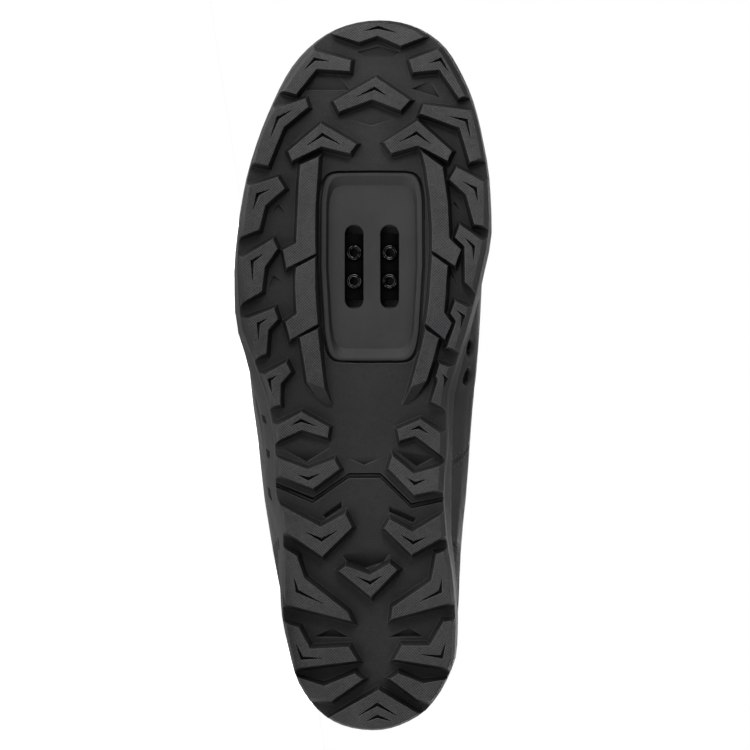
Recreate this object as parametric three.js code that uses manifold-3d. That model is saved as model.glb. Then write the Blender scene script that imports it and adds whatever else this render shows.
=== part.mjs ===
// Cycling shoe for the right foot: lugged rubber sole with a two-bolt cleat plate, and a hollow lasted upper.
// Lengths are in millimetres. The shoe is shaped standing and is laid on its outer side at the end.
// Standing: x runs from heel to toe, +y is the inner side of the foot, z is the height above the ground.

import * as THREE from "three";
import { mergeVertices } from "three/addons/utils/BufferGeometryUtils.js";
import { ConvexHull } from "three/addons/math/ConvexHull.js";
import Module from "manifold-3d";

const wasm = await Module();
wasm.setup();

// Driving dimensions of the sole
const shoeLength = 283;
const soleWidth = 102.3;
const toeSpring = 14;
const lugDepth = 5;
const lugDraft = 1.5;
const webThickness = 3;
const rimThickness = 2.6;
const midsoleAtHeel = 21;
const midsoleLip = 1.5;
const sideFlare = 7;
const fitGap = 0.3;

// Driving dimensions of the cleat plate and what it holds
const windowLength = 75;
const windowWidth = 41.7;
const windowCentre = 183.8;
const windowGap = 0.45;
const plateRimDrop = 0.9;
const plateRimWidth = 2.2;
const plateRecess = 1.7;
const slotLength = 33.2;
const slotWidth = 7.4;
const boltSpacing = 14;
const nutPitch = 11.3;
const nutPlateLength = 26;
const nutPlateWidth = 25;
const nutPlateThickness = 1.6;
const nutBossRadius = 2.9;
const nutBoreRadius = 2.1;
const nutBossDrop = 1.1;
const pocketMargin = 3;
const pocketDepth = 4;

// Driving dimensions of the insole, upper, tongue and straps
const insoleThickness = 3.6;
const upperWall = 2.4;
const toeSetback = 3.5;
const heelSetback = 2.4;
const instepHeight = 92;
const bulgeHeight = 21;
const bulgeShare = 0.25;
const featherTuck = 8.8;
const collarBackHeight = 93;
const collarDipHeight = 79;
const collarFrontHeight = 106;
const collarFront = 121;
const throatEnd = 196;
const throatWidth = 40;
const throatEndWidth = 24;
const tongueThickness = 4.2;
const tongueMargin = 9;
const tongueRise = 15;
const strapThickness = 2;
const strapRounding = 0.7;
const ventLength = 6.4;
const ventHeight = 4;

const soleStations = 54;
const upperStations = 34;
const archSteps = 10;
const meshTolerance = 0.06;
const windowSteps = 36;
const arcSteps = 6;

// Sole outline: half-widths to the outer and inner side, as shares of the sole width,
// and how far the tread face and the top edge of the rubber lie inside it, as shares of the side flare.
const outlineRows = [
  { at: 0.0, outer: -0.004, inner: 0.004, treadOuter: 0.15, treadInner: 0.15, rubberOuter: 0, rubberInner: 0 },
  { at: 0.01, outer: 0.135, inner: 0.125, treadOuter: 0.15, treadInner: 0.15, rubberOuter: 0, rubberInner: 0 },
  { at: 0.03, outer: 0.214, inner: 0.214, treadOuter: 0.16, treadInner: 0.16, rubberOuter: 0, rubberInner: 0 },
  { at: 0.07, outer: 0.294, inner: 0.29, treadOuter: 0.2, treadInner: 0.16, rubberOuter: 0, rubberInner: 0 },
  { at: 0.11, outer: 0.332, inner: 0.326, treadOuter: 0.3, treadInner: 0.17, rubberOuter: 0.03, rubberInner: 0 },
  { at: 0.16, outer: 0.364, inner: 0.332, treadOuter: 0.4, treadInner: 0.2, rubberOuter: 0.12, rubberInner: 0.04 },
  { at: 0.22, outer: 0.374, inner: 0.322, treadOuter: 0.5, treadInner: 0.25, rubberOuter: 0.34, rubberInner: 0.1 },
  { at: 0.28, outer: 0.383, inner: 0.306, treadOuter: 0.68, treadInner: 0.42, rubberOuter: 0.54, rubberInner: 0.26 },
  { at: 0.34, outer: 0.425, inner: 0.308, treadOuter: 0.92, treadInner: 0.62, rubberOuter: 0.72, rubberInner: 0.42 },
  { at: 0.4, outer: 0.431, inner: 0.313, treadOuter: 0.95, treadInner: 0.6, rubberOuter: 0.74, rubberInner: 0.26 },
  { at: 0.46, outer: 0.455, inner: 0.317, treadOuter: 0.98, treadInner: 0.62, rubberOuter: 0.66, rubberInner: 0.34 },
  { at: 0.52, outer: 0.494, inner: 0.354, treadOuter: 0.72, treadInner: 0.56, rubberOuter: 0.42, rubberInner: 0.22 },
  { at: 0.58, outer: 0.536, inner: 0.396, treadOuter: 0.68, treadInner: 0.38, rubberOuter: 0.03, rubberInner: 0.05 },
  { at: 0.64, outer: 0.538, inner: 0.432, treadOuter: 0.5, treadInner: 0.34, rubberOuter: 0, rubberInner: 0 },
  { at: 0.7, outer: 0.525, inner: 0.462, treadOuter: 0.34, treadInner: 0.33, rubberOuter: 0, rubberInner: 0 },
  { at: 0.77, outer: 0.493, inner: 0.454, treadOuter: 0.29, treadInner: 0.22, rubberOuter: 0, rubberInner: 0 },
  { at: 0.83, outer: 0.445, inner: 0.427, treadOuter: 0.18, treadInner: 0.18, rubberOuter: 0, rubberInner: 0 },
  { at: 0.88, outer: 0.391, inner: 0.393, treadOuter: 0.3, treadInner: 0.24, rubberOuter: 0, rubberInner: 0 },
  { at: 0.93, outer: 0.322, inner: 0.334, treadOuter: 0.42, treadInner: 0.36, rubberOuter: 0, rubberInner: 0 },
  { at: 0.96, outer: 0.253, inner: 0.281, treadOuter: 0.4, treadInner: 0.36, rubberOuter: 0, rubberInner: 0 },
  { at: 0.985, outer: 0.156, inner: 0.193, treadOuter: 0.26, treadInner: 0.26, rubberOuter: 0, rubberInner: 0 },
  { at: 1.0, outer: -0.024, inner: 0.024, treadOuter: 0.2, treadInner: 0.2, rubberOuter: 0, rubberInner: 0 },
];

// Sole heights: rise of the tread as a share of the toe spring, depth of the lugs as a share of the lug depth,
// midsole thickness as a share of that at the heel, and how far the rubber rim climbs the midsole.
const heightRows = [
  { at: 0.0, rise: 0.3, depth: 0.8, midsole: 1.02, rim: 1 },
  { at: 0.05, rise: 0.07, depth: 1.0, midsole: 1.0, rim: 1 },
  { at: 0.09, rise: 0, depth: 1.08, midsole: 1.0, rim: 1 },
  { at: 0.16, rise: 0, depth: 1.1, midsole: 0.99, rim: 0.85 },
  { at: 0.22, rise: 0, depth: 1.1, midsole: 0.96, rim: 0.3 },
  { at: 0.27, rise: 0, depth: 1.1, midsole: 0.91, rim: 0 },
  { at: 0.33, rise: 0.02, depth: 1.05, midsole: 0.83, rim: 0 },
  { at: 0.42, rise: 0.26, depth: 0.8, midsole: 0.6, rim: 0 },
  { at: 0.48, rise: 0.07, depth: 0.9, midsole: 0.48, rim: 0 },
  { at: 0.52, rise: 0, depth: 1, midsole: 0.44, rim: 0.12 },
  { at: 0.58, rise: 0, depth: 1, midsole: 0.41, rim: 0.9 },
  { at: 0.66, rise: 0, depth: 1, midsole: 0.38, rim: 1 },
  { at: 0.76, rise: 0, depth: 1, midsole: 0.35, rim: 1 },
  { at: 0.82, rise: 0.1, depth: 1, midsole: 0.32, rim: 1 },
  { at: 0.88, rise: 0.31, depth: 0.95, midsole: 0.29, rim: 1 },
  { at: 0.94, rise: 0.63, depth: 0.9, midsole: 0.27, rim: 1 },
  { at: 1.0, rise: 1.0, depth: 0.8, midsole: 0.26, rim: 1 },
];

// Lasted form of the upper: half-widths at its widest as shares of the sole width, top as a share of the
// instep height, where that top lies across, height of the widest line, squareness of the arch,
// and how far the feather edge is tucked in under the widest line.
const lastRows = [
  { at: 0.0, outer: 0, inner: 0, top: 1.55, across: 0, bulge: 1, square: 2.1,
    tuckOuter: 0, tuckInner: 0 },
  { at: 0.01, outer: 0.125, inner: 0.12, top: 1.55, across: 0, bulge: 1, square: 2.1,
    tuckOuter: 0.07, tuckInner: 0.07 },
  { at: 0.03, outer: 0.205, inner: 0.205, top: 1.57, across: 0, bulge: 1, square: 2.1,
    tuckOuter: 0.12, tuckInner: 0.12 },
  { at: 0.07, outer: 0.285, inner: 0.28, top: 1.59, across: 0, bulge: 1, square: 2.05,
    tuckOuter: 0.17, tuckInner: 0.17 },
  { at: 0.11, outer: 0.332, inner: 0.315, top: 1.61, across: 0, bulge: 1, square: 2,
    tuckOuter: 0.18, tuckInner: 0.18 },
  { at: 0.16, outer: 0.364, inner: 0.325, top: 1.64, across: 0, bulge: 1, square: 1.9,
    tuckOuter: 0.18, tuckInner: 0.2 },
  { at: 0.22, outer: 0.398, inner: 0.333, top: 1.66, across: 0, bulge: 1, square: 1.8,
    tuckOuter: 0.42, tuckInner: 0.3 },
  { at: 0.28, outer: 0.425, inner: 0.35, top: 1.66, across: 0.005, bulge: 1, square: 1.75,
    tuckOuter: 0.53, tuckInner: 0.66 },
  { at: 0.34, outer: 0.448, inner: 0.367, top: 1.6, across: 0.01, bulge: 0.98, square: 1.72,
    tuckOuter: 0.41, tuckInner: 0.83 },
  { at: 0.4, outer: 0.462, inner: 0.378, top: 1.35, across: 0.02, bulge: 0.94, square: 1.72,
    tuckOuter: 0.375, tuckInner: 0.91 },
  { at: 0.46, outer: 0.481, inner: 0.391, top: 1.12, across: 0.03, bulge: 0.88, square: 1.74,
    tuckOuter: 0.26, tuckInner: 1 },
  { at: 0.52, outer: 0.494, inner: 0.408, top: 1.0, across: 0.04, bulge: 0.8, square: 1.78,
    tuckOuter: 0.2, tuckInner: 0.78 },
  { at: 0.58, outer: 0.503, inner: 0.418, top: 0.9, across: 0.045, bulge: 0.72, square: 1.84,
    tuckOuter: 0.17, tuckInner: 0.43 },
  { at: 0.64, outer: 0.506, inner: 0.425, top: 0.815, across: 0.05, bulge: 0.66, square: 1.92,
    tuckOuter: 0.17, tuckInner: 0.2 },
  { at: 0.7, outer: 0.495, inner: 0.426, top: 0.75, across: 0.05, bulge: 0.6, square: 2,
    tuckOuter: 0.16, tuckInner: 0.16 },
  { at: 0.77, outer: 0.463, inner: 0.416, top: 0.685, across: 0.045, bulge: 0.55, square: 2.1,
    tuckOuter: 0.16, tuckInner: 0.16 },
  { at: 0.83, outer: 0.414, inner: 0.391, top: 0.64, across: 0.04, bulge: 0.5, square: 2.2,
    tuckOuter: 0.15, tuckInner: 0.15 },
  { at: 0.88, outer: 0.36, inner: 0.358, top: 0.605, across: 0.035, bulge: 0.46, square: 2.3,
    tuckOuter: 0.14, tuckInner: 0.14 },
  { at: 0.93, outer: 0.288, inner: 0.301, top: 0.565, across: 0.03, bulge: 0.42, square: 2.4,
    tuckOuter: 0.12, tuckInner: 0.12 },
  { at: 0.965, outer: 0.205, inner: 0.235, top: 0.525, across: 0.026, bulge: 0.38, square: 2.4,
    tuckOuter: 0.1, tuckInner: 0.1 },
  { at: 0.988, outer: 0.11, inner: 0.148, top: 0.48, across: 0.024, bulge: 0.34, square: 2.4,
    tuckOuter: 0.06, tuckInner: 0.06 },
  { at: 1.0, outer: -0.024, inner: 0.024, top: 0.43, across: 0.024, bulge: 0.3, square: 2.4,
    tuckOuter: 0, tuckInner: 0 },
];

// Heel back of the upper seen from the side: how far it is set forward, by height above the midsole.
const heelCurveRows = [
  { up: 0, forward: 0.6 },
  { up: 0.3, forward: 0 },
  { up: 0.6, forward: 0.35 },
  { up: 1.0, forward: 1.7 },
  { up: 1.6, forward: 2.4 },
];
const heelCurveDepth = 4.2;
const heelCurveHeight = 62;

// Notches in the outer side of the midsole: place along the sole, size, and height in the band.
const notchRows = [
  { at: 0.435, length: 3, height: 3, up: 0.55 },
  { at: 0.388, length: 3.2, height: 3.4, up: 0.55 },
  { at: 0.33, length: 4.6, height: 4.4, up: 0.5 },
  { at: 0.262, length: 4.4, height: 4.4, up: 0.45 },
];
const notchDepth = 1.1;

// Air vents low in the inner side of the upper: place along the sole, and height above the midsole.
const ventRows = [
  { at: 0.538, up: 5.5 },
  { at: 0.498, up: 8 },
  { at: 0.47, up: 20 },
];

// Straps: middle as a share of the shoe length, width and reach to each side as shares of the sole width, and
// slant towards the outer tip.
const strapRows = [
  { strap: "forefoot_strap", at: 0.654, width: 0.196, outerEnd: 0.371, innerEnd: 0.332, slant: 0.12 },
  { strap: "instep_strap", at: 0.565, width: 0.215, outerEnd: 0.381, innerEnd: 0.332, slant: 0.1 },
  { strap: "ankle_strap", at: 0.477, width: 0.244, outerEnd: 0.371, innerEnd: 0.323, slant: 0.06 },
];

// The tread is laid out on a grid over the sole seen from below, toe at the top and outer side to the left.
const gridHeelRow = 730.6;
const gridRows = 712.4;
const gridCentreColumn = 372.75;
const gridColumns = 257.8;

// Lugs as [column, row] corners: a front and a back edge with as many corners each. Lugs at the rim run
// past it and are trimmed by the side of the sole. A fade of 0 sinks a corner to the web.
const lugRows = [
  { lug: "toe", front: [[328, 26], [352, 12], [379, 8], [405, 12], [432, 28]],
    back: [[335.5, 34], [359.8, 43.5], [378, 37], [401.2, 47.4], [425.6, 36.3]] },
  { lug: "outer 1", front: [[351.3, 62.4], [303, 47.2], [276, 89.6]], back: [[350.4, 72.9], [317.4, 70.6], [297.6, 96.3]] },
  { lug: "outer 2", front: [[306.7, 101.2], [262, 115.2], [246, 163.3]], back: [[309.5, 109.3], [285.4, 129.6], [270.3, 167.8]] },
  { lug: "outer 3", front: [[279.7, 179.6], [238, 192.4], [236, 240.1]], back: [[286.5, 190.7], [267.5, 207.4], [261.6, 231.2]] },
  { lug: "outer 4", front: [[275, 240.8], [234, 264.4], [234, 308]], back: [[279.6, 250.4], [267.1, 268.3], [264, 292.5]] },
  { lug: "outer 5", front: [[276.3, 309.2], [236, 323.8], [241, 363.2]], back: [[280, 320], [270.4, 330.8], [268.5, 353.8]] },
  { lug: "outer 6", front: [[288.4, 363], [250, 382.5], [253, 407.6]], back: [[292.7, 372.1], [282.6, 383.6], [282.1, 404.7]] },
  { lug: "centre 1", front: [[335.3, 103.7], [376.7, 79.7], [410.3, 102.7]], back: [[340.4, 113.9], [373.3, 101.7], [401.4, 112.8]] },
  { lug: "centre 2 outer", front: [[290.4, 153.8], [322.5, 126.3], [357.5, 146.7]], back: [[294.2, 162.9], [323.3, 148.8], [351.3, 155.8]] },
  { lug: "centre 2 inner", front: [[385.4, 145], [418.3, 123.8], [452.1, 154.2]], back: [[392.5, 155.8], [419.2, 147.9], [447.9, 163.3]] },
  { lug: "inner 1", front: [[410, 62.1], [455, 43.7], [486, 92.6]], back: [[413.8, 74.2], [440, 71.7], [459.2, 100.4]] },
  { lug: "inner 2", front: [[424.4, 107.4], [488, 115.3], [496, 156.9]], back: [[421.2, 116], [460.2, 130.6], [470.3, 164.8]] },
  { lug: "inner 3", front: [[457.1, 170.4], [497, 190.2], [497, 228.8]], back: [[450.4, 182.1], [466.3, 196.7], [474.7, 226.3]] },
  { lug: "inner 4", front: [[460.4, 227.1], [498, 251.8], [496, 305.8]], back: [[455.8, 239.2], [465, 247.9], [465.4, 283.3]] },
  { lug: "inner 5", front: [[455.8, 302.5], [488, 316.7], [480, 352.3]], back: [[451.3, 314.6], [456.7, 322.1], [447.9, 347.5]] },
  { lug: "inner 6", front: [[440.4, 364.5], [468, 373.1], [460, 413.1]], back: [[437, 376.4], [438.9, 380.7], [432.2, 401.3]] },
  { lug: "waist outer", front: [[258, 434.5], [303.2, 412.3], [330.4, 427.1]], back: [[260, 447.7], [303.2, 429.5], [329, 437.2]] },
  { lug: "waist inner", front: [[398.3, 429.1], [421.2, 419.5], [458, 442.1]], back: [[400.7, 440.1], [416, 435.3], [458, 464.5]] },
  { lug: "heel 1 outer", front: [[262, 452.4], [309.3, 468.7], [335.6, 458.7]], back: [[264, 469], [315.1, 487.4], [340.9, 468.3]] },
  { lug: "heel 1 inner", front: [[393.5, 455.4], [414.6, 473], [458, 461.5]], back: [[389.7, 467.8], [415.1, 493.6], [458, 485.7]] },
  { lug: "heel 2 outer", front: [[266, 497], [322.7, 525.7], [346.6, 512.3]], back: [[266, 517.3], [324.1, 554.4], [353.3, 525.7]] },
  { lug: "heel 2 inner", front: [[391.1, 518], [413.1, 530.4], [460, 504.4]], back: [[385.9, 526.6], [412.7, 552.5], [460, 527.3]] },
  { lug: "heel centre", front: [[347.1, 564.3], [371.5, 572.9], [390.4, 561.7]], back: [[341.4, 569.1], [372.5, 594.4], [398.3, 567.8]] },
  { lug: "heel 3 outer", front: [[298.8, 554.4], [306.4, 576.3], [349, 609.7]], back: [[266, 537.1], [268, 597.6], [352.8, 618.4]] },
  { lug: "heel 3 inner", front: [[437, 552.5], [432, 578.5], [394, 604.8]], back: [[466, 543.5], [466, 596.6], [392.6, 616.3]] },
  { lug: "heel 4 outer", front: [[300.7, 625], [312.2, 646.1], [350.4, 644.2]], back: [[268, 616.6], [272, 669.5], [358.6, 657.6]] },
  { lug: "heel 4 inner", front: [[444.2, 619.2], [430.4, 642.6], [403.1, 642.6]], back: [[470, 616.8], [470, 668.8], [395.9, 656]] },
  { lug: "heel 5 outer", front: [[276, 670.6], [325.6, 682.9], [356.2, 670.5]], back: [[288, 694.2], [333.2, 697.8], [363.8, 676.2]] },
  { lug: "heel 5 inner", front: [[399.7, 670.4], [423.7, 679.9], [466, 676]], back: [[391.6, 675.6], [417.9, 695.2], [456, 705.8]] },
  { lug: "heel back", front: [[310, 728.5], [379.7, 686.7], [436, 722.9]], back: [[310, 748], [379.7, 748], [436, 748]] },
  { lug: "outer bar 1", front: [[302.5, 167.5], [301, 186], [300, 210], [298.3, 245], [285.4, 251.7], [288.8, 269.2]],
    back: [[320.4, 159.6], [319.2, 180], [317.2, 210], [317, 243], [317.3, 249], [317.5, 255]] },
  { lug: "outer bar 2", front: [[298.3, 269.2], [297.5, 277], [297.6, 292], [298.8, 315], [287.9, 322.9], [292.5, 340]],
    back: [[317.1, 259.2], [317, 275], [317.1, 290], [318.3, 310], [319, 318], [319.6, 324.6]] },
  { lug: "outer bar 3", front: [[302, 338], [305.6, 358.3], [308.9, 382], [329, 407]],
    back: [[319.5, 330], [321.4, 348.7], [326, 388.5], [334, 406]], fade: [1, 1, 0.8, 0.05] },
  { lug: "inner bar 1", front: [[442.9, 170], [445, 183], [448.2, 205], [449.8, 240.5], [461.3, 251.7], [455.4, 267.1]],
    back: [[422.9, 155], [426.7, 170], [431, 200], [432.9, 230], [432.9, 244], [432.9, 252.1]] },
  { lug: "inner bar 2", front: [[447.9, 267.5], [447.1, 280], [446.2, 294], [444.6, 313.8], [452.1, 324.2], [445.4, 339.6]],
    back: [[432.9, 256.7], [432.1, 270], [431, 285], [430, 300], [428, 316], [426.7, 324.2]] },
  { lug: "inner bar 3", front: [[439.2, 339], [432.7, 363], [427, 381.2], [408, 404]],
    back: [[426.4, 330.6], [422.2, 348.7], [411.7, 387], [403, 404]], fade: [1, 1, 0.8, 0.05] },
];

// Groove across the waist that sets the heel off from the arch, as corners on the same grid.
const waistGroove = [[262, 478], [315, 498.3], [350.5, 474.8], [382.3, 474.8], [412.2, 503.8], [462, 494]];
const grooveWidth = 1.3;
const grooveDepth = 1;

const clamp = THREE.MathUtils.clamp;
const lerp = THREE.MathUtils.lerp;
const arcOf = (share) => Math.acos(1 - 2 * clamp(share, 0, 1));
const shareOf = (arc) => (1 - Math.cos(clamp(arc, 0, Math.PI))) / 2;

// Smooth curve without overshoot through one column of a table.
function columnCurve(rows, key, column, warp) {
  const place = rows.map((row) => warp(row[key]));
  const value = rows.map((row) => row[column]);
  const rate = place.slice(1).map((next, i) => (value[i + 1] - value[i]) / (next - place[i]));
  const slope = place.map((_, i) => {
    if (i === 0) return rate[0];
    if (i === place.length - 1) return rate[i - 1];
    if (rate[i - 1] * rate[i] <= 0) return 0;
    return (2 * rate[i - 1] * rate[i]) / (rate[i - 1] + rate[i]);
  });
  return (input) => {
    const at = clamp(warp(input), place[0], place[place.length - 1]);
    const i = clamp(place.findIndex((next) => next >= at) - 1, 0, rate.length - 1);
    const width = place[i + 1] - place[i];
    const t = (at - place[i]) / width;
    const rest = 1 - t;
    const start = value[i] * (1 + 2 * t) * rest * rest + slope[i] * width * t * rest * rest;
    const end = value[i + 1] * t * t * (3 - 2 * t) - slope[i + 1] * width * t * t * rest;
    return start + end;
  };
}

// One curve for each column of a table.
function tableCurves(rows, key, warp) {
  const columns = Object.keys(rows[0]).filter((column) => column !== key);
  return Object.fromEntries(columns.map((column) => [column, columnCurve(rows, key, column, warp)]));
}

const outline = tableCurves(outlineRows, "at", arcOf);
const heights = tableCurves(heightRows, "at", arcOf);
const last = tableCurves(lastRows, "at", arcOf);
const heelCurve = tableCurves(heelCurveRows, "up", (up) => up);

// Closed solid from triangles: coincident corners are joined, collapsed triangles dropped, faces turned out.
function solidOf(geometry) {
  const bare = new THREE.BufferGeometry();
  bare.setAttribute("position", geometry.getAttribute("position"));
  bare.setIndex(geometry.getIndex());
  const joined = mergeVertices(bare, 1e-4);
  const corners = joined.getAttribute("position").array;
  const index = joined.getIndex().array;
  const corner = (i) => new THREE.Vector3().fromArray(corners, 3 * i);
  const kept = [];
  let volume = 0;
  for (let i = 0; i < index.length; i += 3) {
    const [a, b, c] = index.slice(i, i + 3);
    if (a === b || b === c || a === c) continue;
    kept.push(a, b, c);
    volume += corner(a).dot(corner(b).cross(corner(c)));
  }
  const turned = volume < 0 ? kept.map((_, i) => kept[i - (i % 3) + [0, 2, 1][i % 3]]) : kept;
  const mesh = { numProp: 3, vertProperties: new Float32Array(corners), triVerts: new Uint32Array(turned) };
  return new wasm.Manifold(new wasm.Mesh(mesh));
}

// Geometry from a list of points and a list of corner triples.
function geometryOf(points, triangles) {
  const geometry = new THREE.BufferGeometry();
  geometry.setAttribute("position", new THREE.Float32BufferAttribute(points.flatMap((p) => p.toArray()), 3));
  geometry.setIndex(triangles.flat());
  return geometry;
}

// Two triangles for the four-sided face a, b, c, d.
const quad = (a, b, c, d) => [[a, b, c], [a, c, d]];

// Solid wrapped round stacked rings. Each ring starts at the heel end, runs up one side to the toe end in
// the middle of the list and back down the other side. The first and last rings are closed across.
function ringSolid(rings) {
  const count = rings[0].length;
  const at = (ring, i) => ring * count + (i % count);
  const triangles = [];
  for (let ring = 0; ring < rings.length - 1; ring++) {
    for (let i = 0; i < count; i++) {
      triangles.push(...quad(at(ring, i), at(ring, i + 1), at(ring + 1, i + 1), at(ring + 1, i)));
    }
  }
  const lid = rings.length - 1;
  for (let i = 0; i < count / 2; i++) {
    triangles.push(...quad(at(0, count - i), at(0, count - i - 1), at(0, i + 1), at(0, i)));
    triangles.push(...quad(at(lid, i), at(lid, i + 1), at(lid, count - i - 1), at(lid, count - i)));
  }
  return solidOf(geometryOf(rings.flat(), triangles));
}

// Flat outline pushed straight up from one height to another.
function prism(points, low, high) {
  const shape = new THREE.Shape(points.map(([x, y]) => new THREE.Vector2(x, y)));
  const geometry = new THREE.ExtrudeGeometry(shape, { depth: high - low, bevelEnabled: false });
  return solidOf(geometry.translate(0, 0, low));
}

// Outline with round ends, `length` long and `width` wide, centred on x and y.
function roundEnded(x, y, length, width) {
  const straight = (length - width) / 2;
  const shape = new THREE.Shape();
  shape.absarc(x + straight, y, width / 2, -Math.PI / 2, Math.PI / 2, false);
  shape.absarc(x - straight, y, width / 2, Math.PI / 2, (3 * Math.PI) / 2, false);
  return shape.getPoints(arcSteps).map((p) => [p.x, p.y]);
}

// Heights of the sole above the ground
const treadZ = (share) => toeSpring * heights.rise(share);
const webZ = (share) => treadZ(share) + lugDepth * heights.depth(share);
const floorZ = (share) => webZ(share) + webThickness;
const bedZ = (share) => floorZ(share) + midsoleAtHeel * heights.midsole(share);
const rimZ = (share) => lerp(floorZ(share) + 0.6, bedZ(share) - midsoleLip, heights.rim(share));

// How far the tread face, the web and the rubber's top edge lie inside the outline
const treadInset = (share, side) => sideFlare * (side < 0 ? outline.treadOuter(share) : outline.treadInner(share));
const rubberInset = (share, side) => sideFlare * (side < 0 ? outline.rubberOuter(share) : outline.rubberInner(share));
function sideInset(share, side, z) {
  const climbed = clamp((z - treadZ(share)) / (rimZ(share) - treadZ(share)), 0, 1);
  return lerp(treadInset(share, side), rubberInset(share, side), climbed ** 0.8);
}

// Point of the sole outline, moved in at right angles to it.
function edgePoint(share, side, inset) {
  const point = (at) => {
    const half = side < 0 ? outline.outer(at) : outline.inner(at);
    return new THREE.Vector2(shoeLength * at, side * soleWidth * half);
  };
  const arc = arcOf(share);
  const step = 0.004;
  const along = point(shareOf(arc + step)).sub(point(shareOf(arc - step))).normalize();
  return point(share).add(new THREE.Vector2(side * along.y, -side * along.x).multiplyScalar(inset));
}

// Ring round the sole: inset and height are read at each share of the length, on each side.
function soleRing(inset, height) {
  const spot = (i, side) => {
    const share = shareOf((Math.PI * i) / soleStations);
    const plan = edgePoint(share, side, inset(share, side));
    return new THREE.Vector3(plan.x, plan.y, height(share));
  };
  const outerSide = Array.from({ length: soleStations + 1 }, (_, i) => spot(i, -1));
  const innerSide = Array.from({ length: soleStations - 1 }, (_, i) => spot(soleStations - 1 - i, 1));
  return [...outerSide, ...innerSide];
}

const gridPoint = ([column, row]) => new THREE.Vector2(
  (shoeLength * (gridHeelRow - row)) / gridRows,
  (soleWidth * (column - gridCentreColumn)) / gridColumns,
);

// Outline moved out by a distance with mitred corners.
function grown(points, distance) {
  const area = points.reduce((sum, p, i) => sum + p.cross(points[(i + 1) % points.length]), 0);
  const turn = Math.sign(area);
  const normal = (a, b) => new THREE.Vector2(b.y - a.y, a.x - b.x).normalize().multiplyScalar(turn);
  return points.map((p, i) => {
    const before = normal(points[(i + points.length - 1) % points.length], p);
    const after = normal(p, points[(i + 1) % points.length]);
    return p.clone().addScaledVector(before.clone().add(after), distance / (1 + before.dot(after)));
  });
}

// Strip between a front and a back edge, from one height to another at each corner.
function stripSolid(low, high, count) {
  const total = 2 * count;
  const triangles = [];
  for (let i = 0; i < total; i++) {
    const next = (i + 1) % total;
    triangles.push(...quad(i, next, total + next, total + i));
  }
  for (let i = 0; i < count - 1; i++) {
    const facing = total - 1 - i;
    triangles.push(...quad(facing, facing - 1, i + 1, i));
    triangles.push(...quad(total + i, total + i + 1, total + facing - 1, total + facing));
  }
  return solidOf(geometryOf([...low, ...high], triangles));
}

// Lug with drafted walls: its tread face follows the tread, its root sits inside the web.
function lugSolid({ front, back, fade = front.map(() => 1) }) {
  const face = [...front, ...[...back].reverse()].map(gridPoint);
  const sink = [...fade, ...[...fade].reverse()];
  const root = grown(face, lugDraft * (1 + webThickness / 2 / lugDepth));
  const raise = (p, i) => {
    const share = p.x / shoeLength;
    return new THREE.Vector3(p.x, p.y, lerp(webZ(share), treadZ(share), sink[i]));
  };
  const sunk = (p) => new THREE.Vector3(p.x, p.y, webZ(p.x / shoeLength) + webThickness / 2);
  return stripSolid(face.map(raise), root.map(sunk), front.length);
}

// Edge of the cleat window: a rounded oblong that narrows towards the heel.
function windowRing(sideInset, endInset, z) {
  const squareness = 2 / 9;
  const taper = 0.082;
  const power = (value) => Math.sign(value) * Math.abs(value) ** squareness;
  return Array.from({ length: windowSteps }, (_, i) => {
    const angle = Math.PI - (2 * Math.PI * i) / windowSteps;
    const along = power(Math.cos(angle));
    const across = power(Math.sin(angle)) * (1 - taper * (along - 0.3) ** 2);
    const x = windowCentre + along * (windowLength / 2 - endInset);
    return new THREE.Vector3(x, -across * (windowWidth / 2 - sideInset), z);
  });
}

function makeOutsole() {
  const webInset = (share, side) => sideInset(share, side, webZ(share));
  const midZ = (share) => lerp(webZ(share), rimZ(share), 0.5);
  const innerInset = (share, side) => rubberInset(share, side) + rimThickness;
  const shell = ringSolid([
    soleRing(webInset, webZ),
    soleRing((share, side) => sideInset(share, side, midZ(share)), midZ),
    soleRing(rubberInset, rimZ),
    soleRing(innerInset, rimZ),
    soleRing(innerInset, floorZ),
  ]);
  const rootZ = (share) => webZ(share) + webThickness / 2;
  const envelope = ringSolid([
    soleRing(treadInset, (share) => treadZ(share) - lugDepth),
    soleRing(treadInset, treadZ),
    soleRing((share, side) => sideInset(share, side, rootZ(share)) + 0.05, rootZ),
  ]);
  const lugs = wasm.Manifold.union(lugRows.map(lugSolid)).intersect(envelope);
  const window = ringSolid([windowRing(0, 0, -lugDepth), windowRing(0, 0, 4 * lugDepth)]);
  return shell.add(lugs).subtract(window).subtract(makeGroove());
}

function makeGroove() {
  const corners = waistGroove.map(gridPoint);
  const half = (corner) => corner.clone().add(new THREE.Vector2(-grooveWidth / 2, 0));
  const other = (corner) => corner.clone().add(new THREE.Vector2(grooveWidth / 2, 0));
  const edge = [...corners.map(other), ...corners.map(half).reverse()];
  const low = edge.map((p) => new THREE.Vector3(p.x, p.y, webZ(p.x / shoeLength) - lugDepth));
  const high = edge.map((p) => new THREE.Vector3(p.x, p.y, webZ(p.x / shoeLength) + grooveDepth));
  return stripSolid(low, high, corners.length);
}

// The cleat plate lies flat, its upper face flush with the floor of the rubber.
const plateTop = floorZ(windowCentre / shoeLength);
const plateRim = webZ(windowCentre / shoeLength) - plateRimDrop;
const boltSides = [-boltSpacing / 2, boltSpacing / 2];

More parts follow.
